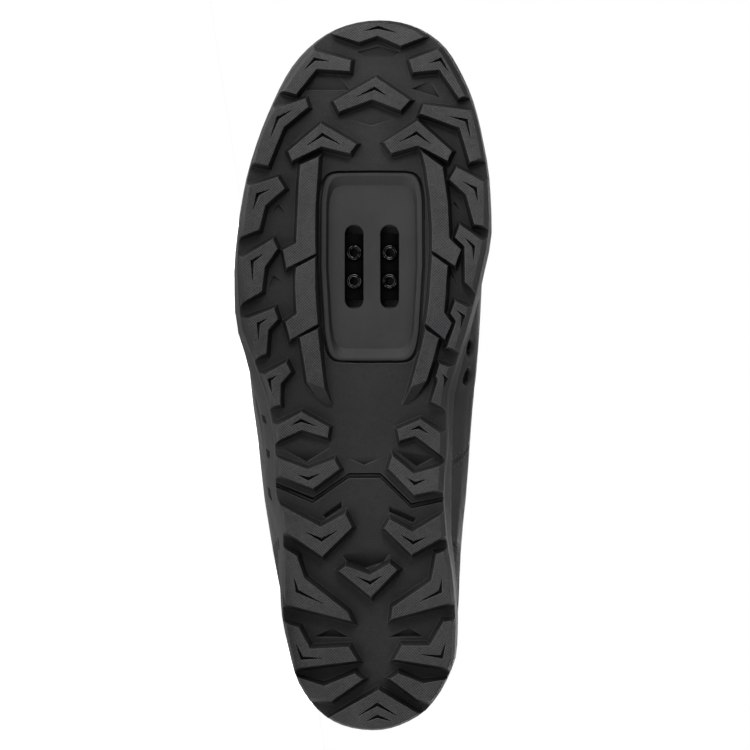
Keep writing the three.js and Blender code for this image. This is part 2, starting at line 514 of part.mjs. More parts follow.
function makeCleatPlate() {
  const rimInset = windowGap + plateRimWidth;
  const body = ringSolid([
    windowRing(windowGap, windowGap, plateTop),
    windowRing(windowGap, windowGap, plateRim + 0.4),
    windowRing(windowGap + 0.4, windowGap + 0.4, plateRim),
    windowRing(rimInset, rimInset - 1, plateRim),
    windowRing(rimInset + 0.8, rimInset + 2.6, plateRim + plateRecess),
  ]);
  const slots = boltSides.map((y) => prism(roundEnded(windowCentre, y, slotLength, slotWidth), 0, plateTop + 1));
  return slots.reduce((plate, slot) => plate.subtract(slot), body);
}

function makeNutPlate() {
  const low = plateTop + fitGap;
  const halfLength = nutPlateLength / 2;
  const halfWidth = nutPlateWidth / 2;
  const corners = [[-1, -1], [1, -1], [1, 1], [-1, 1]];
  const outlinePoints = corners.map(([x, y]) => [windowCentre + x * halfLength, y * halfWidth]);
  let plate = prism(outlinePoints, low, low + nutPlateThickness);
  const spots = boltSides.flatMap((y) => [-nutPitch / 2, nutPitch / 2].map((x) => [windowCentre + x, y]));
  for (const [x, y] of spots) {
    const boss = prism(roundEnded(x, y, 2 * nutBossRadius, 2 * nutBossRadius - 0.01), low - fitGap - nutBossDrop, low + 0.5);
    plate = plate.add(boss);
  }
  for (const [x, y] of spots) {
    const bore = prism(roundEnded(x, y, 2 * nutBoreRadius, 2 * nutBoreRadius - 0.01), 0, low + 2 * nutPlateThickness);
    plate = plate.subtract(bore);
  }
  return plate;
}

function makeMidsole() {
  const seat = (share, side) => rubberInset(share, side) + rimThickness + fitGap;
  const aboveFloor = (share) => floorZ(share) + fitGap;
  const aboveRim = (share) => rimZ(share) + fitGap;
  const half = (share) => lerp(aboveRim(share), bedZ(share), 0.5);
  const body = ringSolid([
    soleRing(seat, aboveFloor),
    soleRing(seat, aboveRim),
    soleRing((share, side) => rubberInset(share, side) + 0.1, aboveRim),
    soleRing((share, side) => 0.3 * rubberInset(share, side) + 0.1, half),
    soleRing(() => 0.2, bedZ),
  ]);
  const low = plateTop;
  const size = [nutPlateLength / 2 + pocketMargin, nutPlateWidth / 2 + pocketMargin];
  const corners = [[-1, -1], [1, -1], [1, 1], [-1, 1]].map(([x, y]) => [windowCentre + x * size[0], y * size[1]]);
  let midsole = body.subtract(prism(corners, 0, low + pocketDepth));
  for (const { at, length, height, up } of notchRows) {
    midsole = midsole.subtract(sideNotch(at, length, height, up));
  }
  return midsole;
}

// Slanted notch pressed into the outer side of the midsole.
function sideNotch(at, length, height, up) {
  const inside = edgePoint(at, -1, rubberInset(at, -1) * up + notchDepth);
  const middle = lerp(rimZ(at), bedZ(at), 1 - up);
  const lean = 0.35 * length;
  const side = [[-1, -1], [1, -1], [1, 1], [-1, 1]].map(([x, z]) => [
    inside.x + (x * length) / 2 + (z * lean) / 2, middle + (z * height) / 2,
  ]);
  return sidePrism(side, inside.y - 2 * sideFlare, inside.y);
}

// Outline in the side view pushed across the shoe, from one side to the other.
function sidePrism(points, from, to) {
  const shape = new THREE.Shape(points.map(([x, z]) => new THREE.Vector2(x, z)));
  const geometry = new THREE.ExtrudeGeometry(shape, { depth: to - from, bevelEnabled: false });
  return solidOf(geometry.rotateX(Math.PI / 2).translate(0, to, 0));
}

const formLength = shoeLength - heelSetback - toeSetback;

// Point of the lasted form. `arc` runs from the heel to the toe, `arch` from the outer feather edge (0)
// over the top (0.5) to the inner feather edge (1).
function formPoint(arc, arch) {
  const share = shareOf(arc);
  const side = arch < 0.5 ? -1 : 1;
  const climb = 1 - Math.abs(2 * arch - 1);
  const straight = heelSetback + formLength * share;
  const bed = bedZ(straight / shoeLength) + fitGap + 0.5;
  const widest = soleWidth * (side < 0 ? last.outer(share) : last.inner(share));
  const tuck = featherTuck * (side < 0 ? last.tuckOuter(share) : last.tuckInner(share));
  const bulge = bed + bulgeHeight * last.bulge(share);
  let across = side * widest;
  let z = bulge;
  if (climb < bulgeShare) {
    const rise = climb / bulgeShare;
    across = side * (widest - tuck * (1 - rise) ** 2);
    z = lerp(bed, bulge, rise);
  } else {
    const turn = ((climb - bulgeShare) / (1 - bulgeShare)) * (Math.PI / 2);
    const power = 2 / last.square(share);
    const inward = Math.max(Math.cos(turn), 0) ** power;
    across = side * widest * inward + soleWidth * last.across(share) * (1 - inward);
    z = lerp(bulge, instepHeight * last.top(share), Math.sin(turn) ** power);
  }
  const nearHeel = Math.max(1 - share / 0.3, 0) ** 2;
  const x = straight + heelCurveDepth * heelCurve.forward((z - bed) / heelCurveHeight) * nearHeel;
  return new THREE.Vector3(x, across, z);
}

// The same point moved out along the surface normal by `offset`, or in where it is negative.
function offsetPoint(arc, arch, offset) {
  const step = 0.004;
  const start = formPoint(arc, arch);
  if (offset === 0) return start;
  if (arc < step) return start.add(new THREE.Vector3(-offset, 0, 0));
  if (arc > Math.PI - step) return start.add(new THREE.Vector3(offset, 0, 0));
  const bare = clamp(arch, step, 1 - step);
  const along = formPoint(arc + step, bare).sub(formPoint(arc - step, bare));
  const over = formPoint(arc, bare + step).sub(formPoint(arc, bare - step));
  return start.addScaledVector(along.cross(over).normalize(), offset);
}

// Closed lasted form, grown by `offset`, with its foot `drop` below the top of the midsole.
function lastForm(offset, drop) {
  const across = 2 * archSteps;
  const rows = Array.from({ length: upperStations + 1 }, (_, i) => {
    const arc = (Math.PI * i) / upperStations;
    const arches = Array.from({ length: across + 1 }, (_, j) => offsetPoint(arc, j / across, offset));
    const foot = (p) => new THREE.Vector3(p.x, p.y, bedZ(p.x / shoeLength) + fitGap - drop);
    return [foot(arches[0]), ...arches, foot(arches[across])];
  });
  const count = rows[0].length;
  const at = (i, j) => i * count + j;
  const triangles = [];
  for (let i = 0; i < upperStations; i++) {
    for (let j = 0; j < count; j++) {
      const next = (j + 1) % count;
      triangles.push(...quad(at(i, j), at(i + 1, j), at(i + 1, next), at(i, next)));
    }
  }
  return solidOf(geometryOf(rows.flat(), triangles));
}

const tall = 2 * instepHeight;
const wide = 2 * soleWidth;

function makeUpper() {
  const shell = lastForm(0, 0).subtract(lastForm(-upperWall, tall / 8));
  const collar = new THREE.Shape();
  collar.moveTo(-tall, collarBackHeight);
  collar.lineTo(heelSetback, collarBackHeight);
  collar.bezierCurveTo(collarFront * 0.28, collarDipHeight - 1, collarFront * 0.5, collarDipHeight - 6, collarFront * 0.68, collarDipHeight + 3);
  collar.quadraticCurveTo(collarFront * 0.86, collarFrontHeight - 11, collarFront, collarFrontHeight);
  collar.lineTo(collarFront, tall);
  collar.lineTo(-tall, tall);
  const mouth = sidePrism(collar.getPoints(arcSteps).map((p) => [p.x, p.y]), -wide, wide);
  const middle = soleWidth * last.across(collarFront / shoeLength);
  const endMiddle = soleWidth * last.across(throatEnd / shoeLength);
  const radius = throatEndWidth / 2;
  const throat = new THREE.Shape();
  throat.moveTo(collarFront - 5, middle - throatWidth / 2);
  throat.lineTo(throatEnd - radius, endMiddle - radius);
  throat.absarc(throatEnd - radius, endMiddle, radius, -Math.PI / 2, Math.PI / 2, false);
  throat.lineTo(collarFront - 5, middle + throatWidth / 2);
  const slot = prism(throat.getPoints(arcSteps).map((p) => [p.x, p.y]), instepHeight / 2, tall);
  const vents = ventRows.map(({ at, up }) => {
    const bed = bedZ(at);
    const hole = roundEnded(shoeLength * at, bed + up, ventLength, ventHeight);
    return sidePrism(hole, 0, wide);
  });
  return [mouth, slot, ...vents].reduce((upper, cut) => upper.subtract(cut), shell);
}

// Layer of the form between two offsets, kept where it lies inside a plan outline.
function formLayer(inside, outside, plan, low, high) {
  return lastForm(outside, 0).subtract(lastForm(inside, tall / 8)).intersect(prism(plan, low, high));
}

function makeTongue() {
  const outside = -upperWall - fitGap;
  const middle = soleWidth * last.across(collarFront / shoeLength);
  const back = collarFront - 2 * tongueRise;
  const halfBack = throatWidth / 2 + tongueMargin;
  const halfFront = throatEndWidth / 2 + tongueMargin / 2;
  const front = throatEnd + tongueMargin;
  const plan = [[back, middle - halfBack], [front - halfFront, middle - halfFront], [front, middle],
    [front - halfFront, middle + halfFront], [back, middle + halfBack]];
  const top = collarFrontHeight + tongueRise;
  const corner = new THREE.Shape();
  corner.moveTo(back, 0);
  corner.lineTo(back, top - 2 * tongueRise);
  corner.quadraticCurveTo(back, top, back + 1.6 * tongueRise, top);
  corner.lineTo(front, top);
  corner.lineTo(front, 0);
  const sides = sidePrism(corner.getPoints(arcSteps).map((p) => [p.x, p.y]), -wide, wide);
  return formLayer(outside - tongueThickness, outside, plan, instepHeight / 2, tall).intersect(sides);
}

// Hook-and-loop strap over the throat, with a round tip on the outer side.
function makeStrap({ at, width, outerEnd, innerEnd, slant }) {
  const [half, outer, inner] = [width / 2, outerEnd, innerEnd].map((share) => share * soleWidth);
  const radius = half * strapRounding;
  const tip = new THREE.Shape();
  tip.moveTo(-half, inner);
  tip.lineTo(-half, -outer + radius);
  tip.quadraticCurveTo(-half, -outer, -half + radius, -outer);
  tip.lineTo(half - radius, -outer);
  tip.quadraticCurveTo(half, -outer, half, -outer + radius);
  tip.lineTo(half, inner);
  const plan = tip.getPoints(4).map((p) => [shoeLength * at + p.x + slant * p.y, p.y]);
  return formLayer(fitGap, fitGap + strapThickness, plan, instepHeight / 3, tall);
}

function makeInsole() {
  const low = (share) => bedZ(share) + fitGap;
  const high = (share) => low(share) + insoleThickness;
  const slab = ringSolid([soleRing(() => 0, low), soleRing(() => 0, high)]);
  return lastForm(-upperWall - fitGap, tall / 8).intersect(slab);
}

const rubber = { color: "#3a3a3c", roughness: 0.85, metalness: 0 };
const hardPlastic = { color: "#38393b", roughness: 0.5, metalness: 0 };
const steel = { color: "#8e8f91", roughness: 0.35, metalness: 1 };
const foam = { color: "#5a5b5d", roughness: 0.8, metalness: 0 };
const leather = { color: "#2f3032", roughness: 0.6, metalness: 0 };
const fabric = { color: "#2b2c2e", roughness: 0.95, metalness: 0 };

const pieces = [
  ["outsole", makeOutsole(), rubber],
  ["cleat_plate", makeCleatPlate(), hardPlastic],
  ["cleat_nut_plate", makeNutPlate(), steel],
  ["midsole", makeMidsole(), foam],
  ["insole", makeInsole(), fabric],
  ["upper", makeUpper(), leather],
  ["tongue", makeTongue(), fabric],
  ...strapRows.map((row) => [row.strap, makeStrap(row), leather]),
];

function meshOf([name, solid, finish]) {
  const { vertProperties, triVerts } = solid.simplify(meshTolerance).getMesh();
  const geometry = new THREE.BufferGeometry();
  geometry.setAttribute("position", new THREE.BufferAttribute(new Float32Array(vertProperties), 3));
  geometry.setIndex(new THREE.BufferAttribute(new Uint32Array(triVerts), 1));
  const mesh = new THREE.Mesh(geometry, new THREE.MeshStandardMaterial(finish));
  mesh.name = name;
  return mesh;
}

// Corners of a mesh, and its volume and centre of volume.
function measure(mesh) {
  const corners = mesh.geometry.getAttribute("position");
  const index = mesh.geometry.getIndex();
  const points = Array.from({ length: corners.count }, (_, i) => new THREE.Vector3().fromBufferAttribute(corners, i));
  const centre = new THREE.Vector3();
  let volume = 0;
  for (let i = 0; i < index.count; i += 3) {
    const [a, b, c] = [0, 1, 2].map((k) => points[index.getX(i + k)]);
    const part = a.dot(b.clone().cross(c)) / 6;
    volume += part;
    centre.addScaledVector(a.clone().add(b).add(c), part / 4);
  }
  return { points, volume, centre: centre.divideScalar(volume) };
}

// The face of the hull that the shoe comes to rest on when it is laid on its outer side: the one that its
// centre of volume stands over, with the outer side down.
function restNormal(meshes) {
  const measured = meshes.map(measure);
  const volume = measured.reduce((sum, piece) => sum + piece.volume, 0);
  const centre = new THREE.Vector3();
  measured.forEach((piece) => centre.addScaledVector(piece.centre, piece.volume / volume));
  const hull = new ConvexHull().setFromPoints(measured.flatMap((piece) => piece.points));
  const outward = new THREE.Vector3(0, -1, 0);
  const steady = hull.faces.filter((face) => {
    const foot = centre.clone().addScaledVector(face.normal, -face.distanceToPoint(centre));
    const [a, b, c] = [face.edge, face.edge.next, face.edge.prev].map((edge) => edge.head().point);
    const turns = [[a, b], [b, c], [c, a]].map(([p, q]) => q.clone().sub(p).cross(foot.clone().sub(p)).dot(face.normal));
    return Math.min(...turns) * Math.max(...turns) >= 0;
  });
  return steady.sort((p, q) => q.normal.dot(outward) - p.normal.dot(outward))[0].normal.clone();
}

const shoe = new THREE.Group();
const meshes = pieces.map(meshOf);
shoe.add(...meshes);

// Lay the shoe down, toe towards -x and sole towards -y, and stand it on the middle of its own footprint.
const downward = new THREE.Quaternion().setFromUnitVectors(restNormal(meshes), new THREE.Vector3(0, 0, -1));
const toe = new THREE.Vector3(1, 0, 0).applyQuaternion(downward);
const yaw = new THREE.Quaternion().setFromAxisAngle(new THREE.Vector3(0, 0, 1), Math.PI - Math.atan2(toe.y, toe.x));
shoe.quaternion.copy(yaw.multiply(downward));
shoe.updateMatrixWorld(true);
const box = new THREE.Box3().setFromObject(shoe, true);
const middle = box.getCenter(new THREE.Vector3());
shoe.position.set(-middle.x, -middle.y, -box.min.z);

const part = new THREE.Group();
part.add(shoe);
export default part;
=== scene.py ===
# Cycling shoe, right foot, lying on its outer side with the lugged sole towards the camera.
# Lengths are in metres. +Z is up, -Y is out of the tread and -X points roughly towards the toe.

from math import exp, pi, radians

import bpy
import numpy as np
from mathutils import Matrix, Vector
from mathutils.bvhtree import BVHTree


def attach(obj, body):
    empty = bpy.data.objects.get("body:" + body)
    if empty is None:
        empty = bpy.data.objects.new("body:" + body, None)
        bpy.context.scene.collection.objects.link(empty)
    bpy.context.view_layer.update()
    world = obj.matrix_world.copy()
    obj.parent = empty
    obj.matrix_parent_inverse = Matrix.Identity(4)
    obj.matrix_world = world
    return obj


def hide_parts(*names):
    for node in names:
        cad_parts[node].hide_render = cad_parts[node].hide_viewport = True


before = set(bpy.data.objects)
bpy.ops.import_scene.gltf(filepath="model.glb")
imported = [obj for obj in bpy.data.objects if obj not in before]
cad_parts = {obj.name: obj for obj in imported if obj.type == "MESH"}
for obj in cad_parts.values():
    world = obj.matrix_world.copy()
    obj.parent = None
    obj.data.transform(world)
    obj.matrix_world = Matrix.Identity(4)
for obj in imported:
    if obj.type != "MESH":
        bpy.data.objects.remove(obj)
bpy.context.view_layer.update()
bpy.ops.object.select_all(action="DESELECT")

# Studio: a pale floor and soft daylight-white lights. The camera looks straight at the tread, with the toe
# up in the picture. The main light comes from the toe side, so edges that face the heel stay dark.
toe_axis = Vector((-0.98844, 0, 0.15160))
inner_axis = Vector((0.15132, -0.06118, 0.98659))
up_axis = inner_axis.cross(toe_axis) * -1
heel_point = Vector((0.139455, -0.059028, 0.027939))
picture_size = 750
picture_scale = 0.000397
picture_heel = (372.75, 730.6)
picture_depth = 0.016
camera_distance = 1.35
camera_height = 0.095
film_width = 36
floor_width = 6
white = (1, 1, 1, 1)
floor_glow = 0.93
sky_for_objects = 0.04
forefoot_aim = (-0.05, -0.05, 0.05)
middle_aim = (0, 0, 0.05)


def shoe_point(along, across, up=0):
    return heel_point + toe_axis * along + inner_axis * across + up_axis * up


def picture_point(column, row, up=0):
    along = (picture_heel[1] - row) * picture_scale
    return shoe_point(along, (column - picture_heel[0]) * picture_scale, up)


picture_middle = picture_point(picture_size / 2, picture_size / 2, picture_depth)
camera_side = (camera_height - picture_middle.z) / inner_axis.z
eye = picture_middle + inner_axis * camera_side - up_axis * camera_distance
camera_data = bpy.data.cameras.new("camera")
camera_data.sensor_width = film_width
camera_data.lens = film_width * camera_distance / (picture_size * picture_scale)
camera_data.clip_start = 0.01
camera = bpy.data.objects.new("camera", camera_data)
backward = (eye - picture_middle).normalized()
right = toe_axis.cross(backward).normalized()
turn = Matrix((right, backward.cross(right), backward)).transposed().to_4x4()
camera.matrix_world = Matrix.Translation(eye) @ turn
bpy.context.collection.objects.link(camera)
bpy.context.scene.camera = camera
bpy.context.scene.view_settings.view_transform = "Standard"

bpy.ops.mesh.primitive_plane_add(size=floor_width, location=(0, 0, 0))
floor = bpy.context.object
floor.name = "studio_floor"
bpy.ops.object.transform_apply(location=True)


def studio_light(name, place, target, size, power):
    bpy.ops.object.light_add(type="AREA", location=place)
    light = bpy.context.object
    light.name = name
    light.data.shape = "RECTANGLE"
    light.data.size, light.data.size_y = size
    light.data.energy = power
    light.rotation_euler = (Vector(target) - Vector(place)).to_track_quat("-Z", "Y").to_euler()


studio_light("front_light", (-0.64, -0.78, 0.2), forefoot_aim, (0.25, 0.25), 4.0)
studio_light("toe_light", (-0.80, -0.35, 0.30), forefoot_aim, (0.2, 0.2), 1.3)
studio_light("top_light", (0.1, 0.38, 1.4), middle_aim, (0.8, 0.8), 6)
studio_light("back_light", (0.0, 1.3, 0.35), middle_aim, (1.2, 0.6), 14)
studio_light("heel_light", (1.3, 0.35, 0.4), (0.1, 0, 0.05), (0.6, 0.6), 10)


class Socket:
    """A shader value, with the sums and textures that the materials use."""

    def __init__(self, tree, link):
        self.tree = tree
        self.link = link

    def node(self, kind, settings=None, **inputs):
        made = self.tree.nodes.new(kind)
        for name, value in (settings or {}).items():
            setattr(made, name, value)
        for name, value in inputs.items():
            key = int(name[1:]) if name[0] == "i" and name[1:].isdigit() else name.replace("_", " ")
            if isinstance(value, Socket):
                self.tree.links.new(value.link, made.inputs[key])
            else:
                made.inputs[key].default_value = value
        return made

    def value(self, kind, settings=None, output=0, **inputs):
        return Socket(self.tree, self.node(kind, settings, **inputs).outputs[output])

    def maths(self, operation, *values):
        inputs = {f"i{index}": value for index, value in enumerate(values)}
        return self.value("ShaderNodeMath", {"operation": operation}, **inputs)

    def __add__(self, other):
        return self.maths("ADD", self, other)

    __radd__ = __add__

    def __mul__(self, other):
        return self.maths("MULTIPLY", self, other)

    __rmul__ = __mul__

    def __sub__(self, other):
        return self.maths("SUBTRACT", self, other)

    def __rsub__(self, other):
        return self.maths("SUBTRACT", other, self)

    def sine(self):
        return self.maths("SINE", self)

    def clamp(self, low, high):
        return self.value("ShaderNodeMapRange", Value=self, From_Min=low, From_Max=high)

    def dot(self, axis, start):
        offset = self.value("ShaderNodeVectorMath", {"operation": "SUBTRACT"}, i0=self, i1=start)
        product = self.node("ShaderNodeVectorMath", {"operation": "DOT_PRODUCT"}, i0=offset, i1=axis)
        return Socket(self.tree, product.outputs["Value"])

    def noise(self, scale, detail=3.0, roughness=0.55):
        return self.value("ShaderNodeTexNoise", Vector=self, Scale=scale, Detail=detail, Roughness=roughness)

    def cell_gaps(self, scale, width):
        cells = self.value("ShaderNodeTexVoronoi", {"feature": "DISTANCE_TO_EDGE"}, Vector=self, Scale=scale)
        return cells.clamp(0, width)

    def attribute(self, name):
        return self.value("ShaderNodeAttribute", {"attribute_name": name}, output=2)

    def rounded(self, radius, samples=4):
        return self.value("ShaderNodeBevel", {"samples": samples}, Radius=radius)

    def openness(self, distance, samples=6):
        return self.value("ShaderNodeAmbientOcclusion", {"samples": samples}, output=1, Distance=distance)

    def mix(self, first, second):
        return self.value("ShaderNodeMix", {"data_type": "RGBA"}, output=2, i0=self, i6=first, i7=second)

    def bump(self, distance, strength=1.0, under=None):
        inputs = {"Normal": under} if under else {}
        return self.value("ShaderNodeBump", Height=self, Distance=distance, Strength=strength, **inputs)


def finish(name):
    material = bpy.data.materials.new(name)
    material.use_nodes = True
    tree = material.node_tree
    tree.nodes.clear()
    shader = tree.nodes.new("ShaderNodeBsdfPrincipled")
    output = tree.nodes.new("ShaderNodeOutputMaterial")
    tree.links.new(shader.outputs[0], output.inputs[0])
    place = tree.nodes.new("ShaderNodeTexCoord")
    return material, shader, Socket(tree, place.outputs["Object"])


def grey(level, blue=0.001):
    return level, level, level + blue, 1


def feed(shader, **inputs):
    for name, value in inputs.items():
        socket = shader.inputs[name.replace("_", " ")]
        if isinstance(value, Socket):
            value.tree.links.new(value.link, socket)
        else:
            socket.default_value = value


floor_paint, floor_shader, place = finish("studio_floor")
feed(floor_shader, Base_Color=grey(0.8, 0), Roughness=0.9, Emission_Color=white,
     Emission_Strength=floor_glow)
floor.data.materials.append(floor_paint)

world = bpy.data.worlds.new("studio")
world.use_nodes = True
bpy.context.scene.world = world
sky = world.node_tree.nodes["Background"]
sky.inputs["Color"].default_value = white
rays = world.node_tree.nodes.new("ShaderNodeLightPath")
level = world.node_tree.nodes.new("ShaderNodeMapRange")
level.inputs["To Min"].default_value = sky_for_objects
level.inputs["To Max"].default_value = 1.0
world.node_tree.links.new(rays.outputs["Is Camera Ray"], level.inputs["Value"])
world.node_tree.links.new(level.outputs[0], sky.inputs["Strength"])

# Outsole: one moulded rubber piece with web, chevron lugs and side bars, cemented under the midsole. The
# small cuts in the lugs, the sunk facets of the web and the waist's double groove are moulded in, and are
# cut here out of a copy of the CAD solid. The lug edges are painted a little paler, partly as wear and partly
# as a painted highlight. Corners, recesses and the web between the lugs carry painted shade.
# Rows and columns below are places in the photograph. A third number is a depth in millimetres.
sipe_width = 0.0013
sipe_tip = 0.15
sipe_depth = 0.0022
lug_sipes = [
    [(364.5, 31.7), (378.8, 28.2), (396.3, 33.6)], [(306.3, 70.7), (315.4, 60.4), (330, 62.5)],
    [(293.8, 112.1), (279.6, 120), (272.5, 139.8)], [(272.1, 191.2), (260, 196.2), (255.6, 211.6)],
    [(265.4, 255.4), (254.6, 262.5), (255.2, 281.7)], [(269.2, 319.2), (260.8, 324.2), (261, 340)],
    [(279.3, 375.5), (271.6, 379.8), (273.8, 392.2)], [(357.7, 98.9), (375.4, 90.2), (387.1, 97.5)],
    [(309.2, 147.5), (324.2, 136.7), (342.1, 146.7)], [(400.8, 144.2), (417.5, 135.4), (431.7, 146.7)],
    [(430.8, 64.6), (440.8, 60.8), (448.8, 73.3)], [(450, 118.9), (466.6, 122.8), (470.7, 140.7)],
    [(463.3, 183.8), (475.8, 190.8), (477.9, 203.3)], [(465.4, 239.6), (473.8, 247.9), (473.8, 260.8)],
    [(457.1, 310.8), (463.8, 316.7), (460.8, 329.2)], [(443.2, 374.5), (446.6, 378.4), (444.4, 387)],
    [(293.6, 424.8), (302.7, 420), (317.5, 425.7)], [(411.7, 429.5), (419.8, 426.7), (428.9, 432.9)],
    [(300.2, 474), (310.1, 477.8), (322.2, 472.6)], [(408.4, 476.9), (415.5, 482.4), (427, 478.3)],
    [(307.4, 530.3), (323.5, 538.1), (339, 529)], [(401.7, 532.8), (414.1, 541), (427, 535.2)],
    [(358.6, 574.8), (371.5, 580.6), (383.9, 573.4)], [(296.4, 576.3), (299.3, 588.7), (325.6, 601.6)],
    [(442.3, 577), (441, 589), (420.8, 599)], [(298.3, 641.3), (304, 655.2), (324.6, 655.2)],
    [(446, 640.2), (442.3, 653.6), (421.7, 651.2)], [(359.6, 712.5), (378.7, 701), (398.3, 712.5)],
    [(368.2, 717.7), (378.7, 712.9), (392.1, 717.7)],
]
sunk_facets = [
    [(281.6, 447, 0), (333, 446, 0), (307.4, 461.5, 2.4)], [(396, 450, 0), (436, 456, 0), (417, 466, 2.4)],
    [(348.5, 457.5, 0), (383, 457.2, 0), (364.8, 464.4, 1.4)],
    [(324, 514, 0), (343, 500, 0), (343, 507, 1.6), (327, 517.5, 1.6)],
    [(390, 505, 0), (417, 517, 0), (414, 522, 1.6), (390, 511, 1.6)],
    [(343, 553, 0), (367, 550.5, 0), (391, 552, 0), (384, 561, 2.4), (366, 567, 2.4), (349, 561, 2.4)],
    [(316, 635, 1.8), (350, 635.5, 1.8), (334, 626.5, 0)],
    [(390, 635, 1.8), (423, 634.5, 1.8), (410, 626, 0)],
    [(358, 52, 0.8), (379, 46.5, 0.8), (400, 52, 0.8), (394, 57, 0), (364, 57, 0)],
    [(307, 91, 1.6), (350, 91, 1.6), (340, 77, 0), (316, 79, 0)],
    [(412, 90, 1.4), (440, 99, 1.6), (430, 82, 0)],
    [(286, 141, 0), (306, 131, 0), (290, 150, 1.6)], [(271, 217, 0), (289, 217, 0), (280, 205, 1.4)],
    [(268, 292, 0), (286, 283, 0), (275, 276, 1.4)], [(448, 216, 0), (463, 216, 0), (455, 203, 1.4)],
    [(447, 284, 0), (459, 290, 0), (452, 272, 1.4)], [(345, 120, 0), (398, 120, 0), (372, 127, 0.8)],
]
waist_groove = [(277.2, 482.3), (314, 498), (350, 473), (381, 473), (412, 503), (443, 496.5)]
groove_width = 0.0006
groove_depth = 0.0012
groove_pitch = 3.6
dot_pitch = 0.0011
side_rim = 0.0009
rim_height = 0.001
window_gap = 0.0005
spine = (0.045, 0.24)
probe_distance = 0.1
probe_lift = 0.007
edge_reach = 0.003
window_reach = 0.0008
lug_top_height = 0.0016
below_tread = 0.003
mm = 0.001
smooth_angle = radians(28)
rubber_edge = 0.0009
corner_reach = 0.010
# Painted shade colour for the rubber's corners and recesses
painted_shade_black = grey(0.002, 0)
# Paler colour of the lug edges, partly wear and partly a painted highlight
worn_and_highlit_rubber = grey(0.11, 0.002)
# The web is painted darker than the lug tops, partly as painted shade and partly as paler wear on the tops
web_greys = (grey(0.014), grey(0.024))
top_greys = (grey(0.024), grey(0.060, 0.002))
tread_rise = [(-0.01, 0.3), (0.014, 0.07), (0.026, 0), (0.093, 0.02), (0.119, 0.26), (0.136, 0.07), (0.147, 0),
              (0.215, 0), (0.232, 0.1), (0.249, 0.31), (0.266, 0.63), (0.29, 1.05)]
toe_spring = 0.014


def surface_of(mesh):
    places = [vertex.co for vertex in mesh.vertices]
    return BVHTree.FromPolygons(places, [face.vertices for face in mesh.polygons])


tread = surface_of(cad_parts["outsole"].data)
window_plug = surface_of(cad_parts["cleat_plate"].data)


def rise_at(along):
    for (near, low), (far, high) in zip(tread_rise, tread_rise[1:]):
        if along <= far:
            return toe_spring * (low + (high - low) * (along - near) / (far - near))
    return toe_spring * tread_rise[-1][1]


def tread_point(column, row, depth):
    start = picture_point(column, row, -probe_distance)
    return tread.ray_cast(start, up_axis)[0] + up_axis * depth


def cutter_through(name, outlines, depth):
    corners, faces = [], []
    for outline in outlines:
        first, count = len(corners), len(outline)
        deep = [corner if len(corner) == 3 else (*corner, depth / mm) for corner in outline]
        corners += [tread_point(column, row, sink * mm) for column, row, sink in deep]
        corners += [tread_point(column, row, -below_tread) for column, row, sink in deep]
        last = first + 2 * count - 1
        faces += [tuple(range(first, first + count)), tuple(range(last, last - count, -1))]
        for index in range(count):
            after = (index + 1) % count
            faces.append((first + index, first + count + index, first + count + after, first + after))
    mesh = bpy.data.meshes.new(name)
    mesh.from_pydata(corners, [], faces)
    cutter = bpy.data.objects.new(name, mesh)
    bpy.context.collection.objects.link(cutter)
    bpy.context.view_layer.objects.active = cutter
    bpy.ops.object.mode_set(mode="EDIT")
    bpy.ops.mesh.select_all(action="SELECT")
    bpy.ops.mesh.normals_make_consistent(inside=False)
    bpy.ops.object.mode_set(mode="OBJECT")
    return cutter


def chevron_outline(line, width):
    half = width / picture_scale / 2
    a, b, c = [Vector(point) for point in line]
    first, second = (b - a).normalized(), (c - b).normalized()
    side_a, side_c = Vector((-first.y, first.x)), Vector((-second.y, second.x))
    side_b = (side_a + side_c) / (1 + side_a.dot(side_c))
    tip = half * sipe_tip
    near = [a + side_a * tip, b + side_b * half, c + side_c * tip]
    far = [c - side_c * tip, b - side_b * half, a - side_a * tip]
    return [tuple(point) for point in near + far]


def merged_copy(node, name):
    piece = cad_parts[node].copy()
    piece.data = piece.data.copy()
    piece.name = name
    piece.data.materials.clear()
    bpy.context.collection.objects.link(piece)
    bpy.ops.object.select_all(action="DESELECT")
    bpy.context.view_layer.objects.active = piece
    piece.select_set(True)
    bpy.ops.object.mode_set(mode="EDIT")
    bpy.ops.mesh.select_all(action="SELECT")
    bpy.ops.mesh.remove_doubles(threshold=0.00001)
    bpy.ops.object.mode_set(mode="OBJECT")
    bpy.ops.mesh.customdata_custom_splitnormals_clear()
    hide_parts(node)
    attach(piece, "root")
    return piece


def apply_modifier(piece, kind, **settings):
    bpy.context.view_layer.objects.active = piece
    modifier = piece.modifiers.new(kind.lower(), kind)
    for name, value in settings.items():
        setattr(modifier, name, value)
    bpy.ops.object.modifier_apply(modifier=modifier.name)


def cut(piece, cutter):
    apply_modifier(piece, "BOOLEAN", operation="DIFFERENCE", object=cutter, solver="EXACT")
    bpy.data.objects.remove(cutter)


